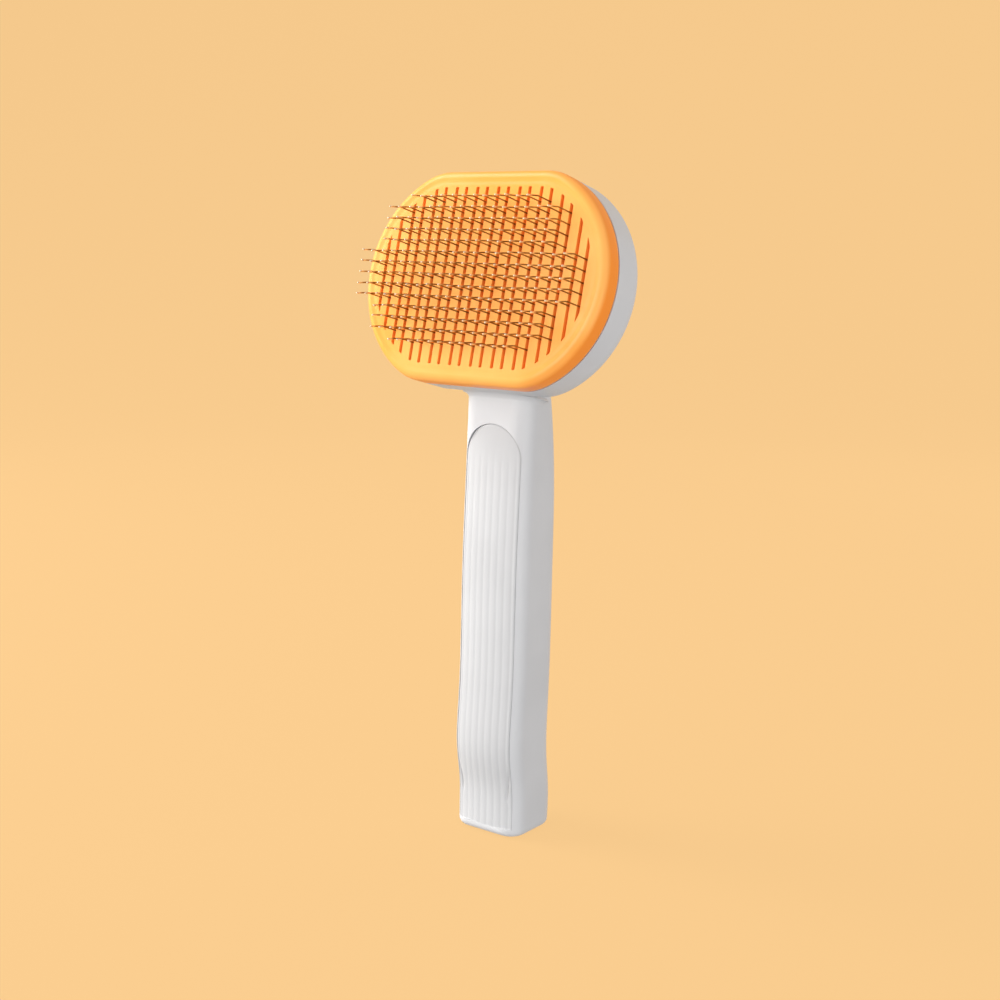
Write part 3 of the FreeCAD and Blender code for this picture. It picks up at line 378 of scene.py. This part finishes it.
def buildCombPlate():
    # the profile carried round the outline, less a prism for each slot, with the slots' edges rounded
    base, normal = plateOutline(48)
    profile = plateProfile()
    flat = base[None] - profile[:, None, :1] * normal[None]
    loops = onHead(flat[..., 0], flat[..., 1], profile[:, None, 1])
    piece = makePiece("combPlate", [tubeAround(loops)], orangeFace)

    columns = columnAcross(np.arange(plate["columns"]))
    middles = (columns[:, None] + np.array([-0.5, 0.5]) * plate["legGap"]).ravel()
    half, tuck = plate["slotWidth"] / 2, plate["slotTuck"]
    edge = np.array([-half, -half + tuck, half - tuck, half])
    pull = np.array([tuck, 0, 0, tuck])
    x = middles[:, None] + edge
    top = fieldHeight(x) - pull
    outline = np.stack([np.concatenate([x, x[:, ::-1]], 1), np.concatenate([top, -top[:, ::-1]], 1)], -1)
    depth = np.array([-1.5, plate["faceThickness"] + 1.0])
    cutter = onHead(outline[:, None, :, 0], outline[:, None, :, 1], depth[None, :, None])
    slots = makePiece("slotCutter", [tubeAround(prism) for prism in cutter], orangeFace)
    take = piece.modifiers.new("slots", "BOOLEAN")
    take.operation, take.solver, take.object = "DIFFERENCE", "EXACT", slots
    applied(piece)
    bpy.data.objects.remove(slots)

    lip = piece.modifiers.new("lip", "BEVEL")
    lip.width, lip.segments, lip.limit_method = plate["slotLip"] * mm, 3, "ANGLE"
    lip.angle_limit = np.radians(plate["lipAngle"])
    lip.harden_normals = True
    applied(piece)

    thick, tall, across, up = plate["leg"]
    square = np.array([(-1, -1), (1, -1), (1, 1), (-1, 1)]) / 2
    depths, taper = np.array(plate["legDepths"])[:, None], np.array(plate["legTaper"])[:, None]
    legs = [tubeAround(onHead(side * across + square[:, 0] * thick * taper,
                              level * up + square[None, :, 1] * tall, depths))
            for side, level in ((-1, -1), (1, -1), (-1, 1), (1, 1))]
    legPiece = makePiece("combLegs", legs, orangeFace)
    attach(piece, "comb")
    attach(legPiece, "comb")
    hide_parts("comb_plate")
    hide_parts("comb_plate")
    return piece


combPlate = buildCombPlate()
print("comb plate:", len(combPlate.data.polygons), "faces")


bristles = {
    "wireRadius": 0.225, "length": 11.0, "crownDepth": 6.775,  # length ahead of the face, crown behind it
    "knee": 5.4, "bend": 13.0, "bendRadius": 3.0,              # height of the bend, its angle and radius
    "rowPitch": 3.2, "rise": 0.75, "rows": 14,
    "rowsInColumn": [(6, 10), (2, 13)] + [(1, 14)] * 6 + [(2, 13), (6, 10)],
    "sides": 5, "tipSwell": 1.3,
    "stray": 0.16, "slotRoom": 0.13, "rowRoom": 0.2,           # how far a tip leans, and the most each way
    "strayFrom": 1.0, "seed": 40,                              # height where a leg starts to lean
}


def staplePath():
    # half a staple from its tip: straight tip, bend, straight shank, rounded corner, crown;
    # then its mirror image
    turn, r, knee = np.radians(bristles["bend"]), bristles["bendRadius"], bristles["knee"]
    bow = turn * np.array([1.0, 0.5])
    kneeUp, kneeOut = -r * (1 - np.cos(bow)), knee + r * np.sin(bow)
    tipUp = kneeUp[0] - (bristles["length"] - kneeOut[0]) * np.tan(turn)
    x, tip, deep = plate["legGap"] / 2, bristles["length"], -bristles["crownDepth"]
    half = np.array([
        (x, tipUp, tip - 0.02), (x, tipUp + 0.05, tip - 0.22),
        (x, tipUp + 0.24, tip - 1.05), (x, tipUp + 0.32, tip - 1.4),
        (x, kneeUp[0], kneeOut[0]), (x, kneeUp[1], kneeOut[1]), (x, 0, knee),
        (x, 0, deep + 0.5), (x - 0.15, 0, deep + 0.12), (x - 0.5, 0, deep)])
    return np.concatenate([half, half[::-1] * [-1, 1, 1]])


def stapleRings():
    # a ring of points round each place of the path, square to it, in (across, up, out)
    path = staplePath()
    along = np.gradient(path, axis=0)
    along /= np.linalg.norm(along, axis=1, keepdims=True)
    side = np.array([0, 1.0, 0]) - along * along[:, 1:2]
    side /= np.linalg.norm(side, axis=1, keepdims=True)
    other = np.cross(along, side)
    radius = np.full(len(path), bristles["wireRadius"])
    radius[[0, -1]] *= 0.5
    radius[[1, 2, -3, -2]] *= bristles["tipSwell"]
    angle = np.linspace(0, 2 * np.pi, bristles["sides"], endpoint=False)
    ring = np.cos(angle)[:, None] * side[:, None] + np.sin(angle)[:, None] * other[:, None]
    return path[:, None] + radius[:, None, None] * ring


def buildBristleColumn(column):
    # one column's staples: the same rings at each row, each leg bent away from its place towards the tip
    first, last = bristles["rowsInColumn"][column]
    rows = np.arange(first, last + 1)
    up = bristles["rise"] + ((bristles["rows"] + 1) / 2 - rows) * bristles["rowPitch"]
    rings = stapleRings()
    chance = np.random.default_rng(bristles["seed"] + column)
    start = bristles["strayFrom"]
    reach = np.clip((rings[..., 2] - start) / (bristles["length"] - start), 0, 1) ** 1.6
    stray = chance.normal(0, bristles["stray"], (len(rows), 2, 2))
    room = np.array([bristles["slotRoom"], bristles["rowRoom"]])
    stray = np.clip(stray, -room, room)
    leg = (rings[..., 0] < 0).astype(int)
    offset = stray[:, leg] * reach[None, ..., None]
    across = columnAcross(column) + rings[None, ..., 0] + offset[..., 0]
    rise = up[:, None, None] + rings[None, ..., 1] + offset[..., 1]
    place = onHead(across, rise, -rings[None, ..., 2] + 0.06 * reach[None])
    name = "bristles%02d" % (column + 1)
    piece = makePiece(name, [tubeAround(staple) for staple in place], bristleSteel, 60.0)
    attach(piece, "handle")
    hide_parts("bristle_column_%02d" % (column + 1))
    return piece


staples = [buildBristleColumn(column) for column in range(plate["columns"])]
print("bristles:", sum(last - first + 1 for first, last in bristles["rowsInColumn"]), "staples in",
      len(staples), "columns")


cover = {
    "halfWidth": 9.94, "archTop": 125.24, "foot": 2.52, "wall": 1.5,
    "levels": [0, 9, 16, 27, 48, 84, 122, 148],           # poles of the handle's front curve: heights, and
    "front": [10.4, 10.3, 10.1, 13.1, 10.3, 10.8, 8.0, 7.4],  # how far each is ahead of the axis
    "crown": 1.24,                                        # fall from the middle to the sides
    "ribPitch": 2.5, "ribDepth": 0.085, "ribEdge": 0.50,  # grooves between the ribs
    "ribEnd": (108.0, 121.0), "ribSide": (8.6, 9.3),      # heights and widths where the grooves run out
    "curlAt": 9.5, "curlIn": 1.3, "curlWidth": 0.32,      # joint line's curl near the foot, and how far it
    "curlTop": 22.0, "curlDrop": 11.0,                    # bends in, from its top over this drop
    "curlSpan": (13.5, 22.5), "curlEnds": 3.0,            # heights that it runs between, and its soft ends
    "edgeRound": 0.6, "footRound": 0.4,                   # edge's radius, and its share near the foot
    "footFrom": (10, 22),                                 # heights over which that share grows to the whole
    "crowding": 0.28,                                     # how far the places across crowd to the sides
    "rows": 180, "archRows": 60, "across": 121,
}


def frontCurve(z):
    # the handle's front at height z: a cubic B-spline with clamped ends over the eight poles,
    # read off by height
    poles = np.stack([cover["levels"], cover["front"]], -1).astype(float)
    count = len(poles)
    knots = np.concatenate([[0] * 3, np.arange(count - 2), [count - 3] * 3]).astype(float)
    t = np.linspace(0, count - 3 - 1e-9, 800)[:, None]
    basis = ((t >= knots[None, :-1]) & (t < knots[None, 1:])).astype(float)
    for degree in (1, 2, 3):
        low = knots[None, :-degree - 1], knots[None, degree:-1]
        high = knots[None, 1:-degree], knots[None, degree + 1:]
        left = (t - low[0]) / np.where(low[1] > low[0], low[1] - low[0], 1) * (low[1] > low[0])
        right = (high[1] - t) / np.where(high[1] > high[0], high[1] - high[0], 1) * (high[1] > high[0])
        basis = left * basis[:, :-1] + right * basis[:, 1:]
    curve = basis @ poles
    return np.interp(z, curve[:, 0], curve[:, 1])


def fade(value, low, high):
    # smooth step from 0 at low to 1 at high
    t = np.clip((value - low) / (high - low), 0, 1)
    return t * t * (3 - 2 * t)


def coverHalf(z):
    # half width at height z: straight sides under a half-round arch
    spring = cover["archTop"] - cover["halfWidth"]
    rise = np.clip(z - spring, 0, cover["halfWidth"])
    return np.sqrt(cover["halfWidth"] ** 2 - rise ** 2)


def coverDepth(x, z):
    # how far the surface lies behind the handle's front curve: a crown that falls to both sides,
    # grooves between the ribs, the curl of the joint line near the foot
    rounding = cover["crown"] * (np.abs(x) / cover["halfWidth"]) ** 2.2
    phase = np.abs((x / cover["ribPitch"]) % 1.0 - 0.5) * cover["ribPitch"]
    strength = (1 - fade(z, *cover["ribEnd"])) * (1 - fade(np.abs(x), *cover["ribSide"]))
    groove = cover["ribDepth"] * np.exp(-(phase / cover["ribEdge"]) ** 2) * strength
    curl = cover["curlAt"] - cover["curlIn"] * fade(cover["curlTop"] - z, 0, cover["curlDrop"])
    wide, (low, high), soft = cover["curlWidth"], cover["curlSpan"], cover["curlEnds"]
    span = fade(high - z, 0, soft) * (1 - fade(low - z, 0, soft))
    return rounding + groove + wide * np.exp(-((np.abs(x) - curl) / wide) ** 2) * span


def buildFrontCover():
    # rows of closed rings up the cover: out along the front surface, back along the one behind it;
    # rows and places across lie closer together near the arch's top and the sides
    top, spring = cover["archTop"] - 0.002, cover["archTop"] - cover["halfWidth"]
    turnAt = spring - 3
    quarter = np.linspace(0, np.pi / 2, cover["archRows"])[1:]
    z = np.concatenate([np.linspace(cover["foot"] + 0.02, turnAt, cover["rows"]),
                        turnAt + (top - turnAt) * np.sin(quarter)])
    s = np.linspace(-1, 1, cover["across"])
    crowding = cover["crowding"]
    s = np.sign(s) * ((1 - crowding) * np.abs(s) + crowding * (1 - (1 - np.abs(s)) ** 2))
    width = coverHalf(z)[:, None]
    x = s * width
    toEdge = np.minimum(width - np.abs(x), z[:, None] - cover["foot"] + 0.2)
    arch = np.hypot(x, np.clip(z[:, None] - spring, 0, None))
    toEdge = np.where(z[:, None] > spring, cover["halfWidth"] - arch, toEdge)
    least = cover["footRound"]
    r = cover["edgeRound"] * (least + (1 - least) * fade(z[:, None], *cover["footFrom"]))
    dip = r - np.sqrt(np.clip(r ** 2 - np.clip(r - toEdge, 0, r) ** 2, 0, None))
    front = -frontCurve(z)[:, None] + coverDepth(x, z[:, None]) + dip
    zz = np.broadcast_to(z[:, None], x.shape)
    back = np.maximum(np.broadcast_to(-frontCurve(z)[:, None] + cover["wall"], x.shape), front + 0.4)
    loops = np.concatenate([np.stack([x, front, zz], -1), np.stack([x, back, zz], -1)[:, ::-1]], 1)
    piece = makePiece("frontCover", [tubeAround(loops)], whiteGrip, 50.0)
    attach(piece, "handle")
    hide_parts("handle_front_cover")
    return piece


frontCover = buildFrontCover()
print("front cover:", len(frontCover.data.polygons), "faces")


flare = {
    "radius": 1.9, "sink": 0.25,      # fillet between handle and head, and how deep its hidden side lies
    "halfWidth": 12.0, "round": 5.6,  # the handle's section at the neck
    "back": 3.0, "runOut": 3.0,       # place behind the handle's axis where the fillet ends, and how gently
    "under": -30.9,                   # height up the head of the flat underside
    "section": 136.0,                 # height where the handle's front is read
    "proud": 0.03, "thick": 0.6,      # lift off the two surfaces that it joins, and its own thickness
    "least": 0.02,                    # radius that is left where it ends
    "steps": (12, 14, 16, 8),         # points on the fillet's arc, a corner, a side, half the front
}


def buildFlare():
    # round each side of the neck a quarter arc, from upright on the handle to flat on the head's underside
    arcSteps, cornerSteps, sideSteps, flatSteps = flare["steps"]
    corner = np.radians(np.linspace(0, 90, cornerSteps))
    hw, r, front = flare["halfWidth"], flare["round"], frontCurve(flare["section"])
    side = np.linspace(flare["back"], -front + r, sideSteps)
    right = np.stack([np.full(sideSteps, hw), side], -1)
    bow = np.stack([hw - r + r * np.cos(corner), -front + r - r * np.sin(corner)], -1)
    flat = np.stack([np.linspace(hw - r, 0, flatSteps)[1:], np.full(flatSteps - 1, -front)], -1)
    half = np.concatenate([right, bow[1:], flat])
    turned = np.stack([np.cos(corner), -np.sin(corner)], -1)[1:]
    normal = np.concatenate([np.tile([1.0, 0], (sideSteps, 1)), turned, np.tile([0, -1.0], (flatSteps - 1, 1))])
    path = np.concatenate([half, half[-2::-1] * [-1, 1]])
    normal = np.concatenate([normal, normal[-2::-1] * [-1, 1]])
    size = flare["radius"] * fade(flare["back"] - path[:, 1], 0, flare["runOut"])[:, None] + flare["least"]
    turn = np.linspace(0, 1, arcSteps)[None] * np.pi / 2
    cosine, sine = leaning()

    def surface(sink):
        out = size * (1 - np.cos(turn)) - sink
        x, y = path[:, :1] + normal[:, :1] * out, path[:, 1:] + normal[:, 1:] * out
        underside = head["middle"][2] + (flare["under"] - (y - head["middle"][1]) * sine) / cosine
        return np.stack([x, y, underside - size * (1 - np.sin(turn)) + sink], -1)

    loops = np.concatenate([surface(-flare["proud"]), surface(flare["sink"] + flare["thick"])[:, ::-1]], 1)
    piece = makePiece("neckFlare", [tubeAround(loops)], whiteShell, 60.0)
    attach(piece, "handle")
    return piece


neckFlare = buildFlare()
print("neck flare:", len(neckFlare.data.polygons), "faces")


button = {
    "radius": 13.0, "wall": 1.6, "foot": 21.2, "top": 36.8, "round": 3.0,
    "sideRings": (28.0, 24.0),                                        # depths of extra rings down the side
    "dishRadius": 48.0, "dishDepth": 1.0, "ring": (9.9, 0.35, 0.22),  # groove: radius, half width, depth
    "roofRound": 0.6, "footEdge": 0.3, "steps": 96,
}


def buildButton():
    # a profile of radius and depth turned round the button's axis
    top, foot, r, edge = button["top"], button["foot"], button["radius"], button["round"]
    dishEdge = np.sqrt(button["dishRadius"] ** 2 - (button["dishRadius"] - button["dishDepth"]) ** 2)
    inner = np.linspace(0.001, min(dishEdge, r - edge), 34)
    dish = button["dishDepth"] - (button["dishRadius"] - np.sqrt(button["dishRadius"] ** 2 - inner ** 2))
    ringAt, ringHalf, ringDepth = button["ring"]
    dish = np.clip(dish, 0, None) + ringDepth * np.exp(-((inner - ringAt) / ringHalf) ** 2)
    bow = np.radians(np.linspace(0, 90, 12))
    outside = [np.stack([inner, top - dish], -1),
               np.stack([r - edge + edge * np.sin(bow), top - edge + edge * np.cos(bow)], -1),
               np.array([(r, depth) for depth in (*button["sideRings"], foot + button["footEdge"])]
                        + [(r - button["footEdge"], foot)])]
    hollow = r - button["wall"]
    roof = top - button["wall"] - button["dishDepth"]
    cut = button["roofRound"]
    inside = np.array([(hollow, foot), (hollow, roof - cut), (hollow - cut, roof), (0.001, roof)])
    profile = np.concatenate(outside + [inside])
    angle = np.linspace(0, 2 * np.pi, button["steps"], endpoint=False)
    out, depth = profile[:, None, 0], profile[:, None, 1]
    loops = onHead(out * np.cos(angle), out * np.sin(angle), depth)
    piece = makePiece("pushButton", [tubeAround(loops)], orangeFace, 40.0)
    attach(piece, "comb")
    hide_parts("push_button")
    return piece


spring = {
    "radius": 5.0, "wire": 0.4, "turns": 7.0,  # radius of the coil and of its wire
    "from": 8.4, "to": 33.8, "seat": 8.0,      # depths of the ends, and the depth that stays put
    "keep": 0.575,                             # share of the length left at full stroke
    "closing": 0.055, "steps": 260, "sides": 10,
}


def buildSpring():
    # a wire ring carried along a helix whose pitch closes up at both ends
    t = np.linspace(0, 1, spring["steps"])
    turn = t * spring["turns"] * 2 * np.pi
    gain = t - spring["closing"] * np.sin(4 * np.pi * t) / np.pi
    rise = spring["from"] + (spring["to"] - spring["from"]) * gain
    centre = np.stack([spring["radius"] * np.cos(turn), spring["radius"] * np.sin(turn), rise], -1)
    along = np.gradient(centre, axis=0)
    along /= np.linalg.norm(along, axis=1, keepdims=True)
    outward = np.stack([np.cos(turn), np.sin(turn), 0 * turn], -1)
    other = np.cross(along, outward)
    angle = np.linspace(0, 2 * np.pi, spring["sides"], endpoint=False)
    ring = np.cos(angle)[None, :, None] * outward[:, None] + np.sin(angle)[None, :, None] * other[:, None]
    place = centre[:, None] + spring["wire"] * ring
    piece = makePiece("returnSpring", [tubeAround(onHead(*np.moveaxis(place, -1, 0)))], springSteel, 60.0)
    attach(piece, "handle")
    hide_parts("return_spring")
    seat = onHead(0.0, 0.0, spring["seat"]) * mm
    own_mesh(piece)
    return piece


pushButton = buildButton()
returnSpring = buildSpring()
print("button:", len(pushButton.data.polygons), "faces, spring:", len(returnSpring.data.polygons), "faces")


keptFinish = {
    "main_shell": whiteShell, "bristle_cushion": cushionRubber, "bristle_carrier": innerOrange,
    "bristle_retainer": innerOrange, "pusher_plate": innerOrange,
    "carrier_screws": screwSteel, "plate_screws": screwSteel,
}


def setFinish(node, material):
    # one material over the whole of a kept node
    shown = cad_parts[node]
    for place in shown.material_slots:
        place.material = material
    if not shown.material_slots:
        shown.data.materials.append(material)


for node, material in keptFinish.items():
    setFinish(node, material)
print("finishes set")


studio = {
    "paper": (0.880, 0.562, 0.252),
    "paperShade": 0.07, "paperMottle": 0.97, "paperGlow": 0.99,  # mostly its own even glow, a little shade
    "paperRadius": 1.5, "paperBend": 0.6, "paperHeight": 1.9, "paperBelow": 0.0002,
    "paperSteps": (20, 24, 128),                                 # on the flat, up the bend, round
    "sky": (0.96, 0.97, 1.0), "skyStrength": 0.42,
    "shining": ("front", "top"),  # lamps that surfaces mirror; the others would wash out the comb plate
    "lamps": {  # place, aim, size, watts, colour
        "key": ((-1.05, -0.33, 0.40), (0, 0, 0.11), 0.70, 15.5, (1.0, 0.99, 0.97)),
        "front": ((-0.12, -0.90, 0.28), (0, 0, 0.14), 0.60, 3.8, (1.0, 0.99, 0.98)),
        "low": ((0.80, -0.28, 0.02), (0, 0, 0.08), 0.50, 4.6, (0.96, 0.98, 1.0)),
        "top": ((-0.45, -0.25, 0.72), (0, -0.02, 0.17), 0.50, 2.8, (1.0, 1.0, 1.0)),
        "back": ((0.10, 0.88, 0.45), (0, 0, 0.12), 0.60, 1.6, (0.94, 0.97, 1.0)),
    },
}


def buildPaper():
    # a flat disc that bends up all round: a profile of radius and height turned round Z
    flatSteps, bendSteps, roundSteps = studio["paperSteps"]
    bow = np.radians(np.linspace(0, 90, bendSteps))
    r, b, top = studio["paperRadius"], studio["paperBend"], studio["paperHeight"]
    profile = np.concatenate([
        np.stack([np.linspace(0.001, r - b, flatSteps), np.zeros(flatSteps)], -1),
        np.stack([r - b + b * np.sin(bow), b - b * np.cos(bow)], -1)[1:],
        np.array([(r, top)])])
    angle = np.linspace(0, 2 * np.pi, roundSteps, endpoint=False)
    points = np.stack([profile[:, :1] * np.cos(angle), profile[:, :1] * np.sin(angle),
                       np.repeat(profile[:, 1:], len(angle), 1) - studio["paperBelow"]], -1)
    mesh = bpy.data.meshes.new("paper")
    mesh.from_pydata(points.reshape(-1, 3).tolist(), [], gridFaces(*points.shape[:2], True).tolist())
    mesh.shade_smooth()
    paint = Paint("paper")
    warm = studio["paper"]
    light = tuple(studio["paperShade"] * part for part in warm)
    dull = tuple(studio["paperMottle"] * part for part in light)
    paint.varying(Base_Color=paint.between(paint.noise(9.0, 2.0), dull, light))
    paint.uniform(Emission_Color=(*warm, 1), Emission_Strength=studio["paperGlow"],
                  Roughness=0.95, Specular_IOR_Level=0.1)
    mesh.materials.append(paint.material)
    paper = bpy.data.objects.new("paper", mesh)
    bpy.context.collection.objects.link(paper)
    paper.visible_diffuse = False
    return paper


def buildLamp(name, place, aim, size, watts, colour):
    # a round soft lamp at a place, turned to its aim
    lamp = bpy.data.lights.new(name, "AREA")
    lamp.shape, lamp.size, lamp.energy, lamp.color = "DISK", size, watts, colour
    holder = bpy.data.objects.new(name, lamp)
    turn = (Vector(aim) - Vector(place)).to_track_quat("-Z", "Y").to_matrix().to_4x4()
    holder.matrix_world = Matrix.Translation(place) @ turn
    holder.visible_glossy = name in studio["shining"]
    bpy.context.collection.objects.link(holder)
    return holder


def buildSky():
    world = bpy.data.worlds.new("sky")
    world.use_nodes = True
    sky = world.node_tree.nodes["Background"]
    sky.inputs["Color"].default_value = (*studio["sky"], 1)
    sky.inputs["Strength"].default_value = studio["skyStrength"]
    bpy.context.scene.world = world
    bpy.context.scene.view_settings.view_transform = "Standard"


made = [buildPaper()] + [buildLamp(name, *values) for name, values in studio["lamps"].items()]
buildSky()


camera = {
    "place": (0.26343, -0.35525, 0.17876),
    "right": (0.798, 0.602, 0.014), "forward": (-0.591, 0.788, -0.172),  # directions
    "lens": 54.0, "sensor": 36.0, "nearest": 0.01,
}


def buildCamera():
    # the camera's own axes: X to the right, Z against the line of sight, Y from their cross product
    back = -Vector(camera["forward"]).normalized()
    right = Vector(camera["right"])
    right = (right - back * right.dot(back)).normalized()
    up = back.cross(right)
    lens = bpy.data.cameras.new("camera")
    lens.lens, lens.sensor_width, lens.clip_start = camera["lens"], camera["sensor"], camera["nearest"]
    holder = bpy.data.objects.new("camera", lens)
    turn = Matrix((right, up, back)).transposed()
    holder.matrix_world = Matrix.Translation(camera["place"]) @ turn.to_4x4()
    bpy.context.collection.objects.link(holder)
    bpy.context.scene.camera = holder


buildCamera()
print("studio and camera set")
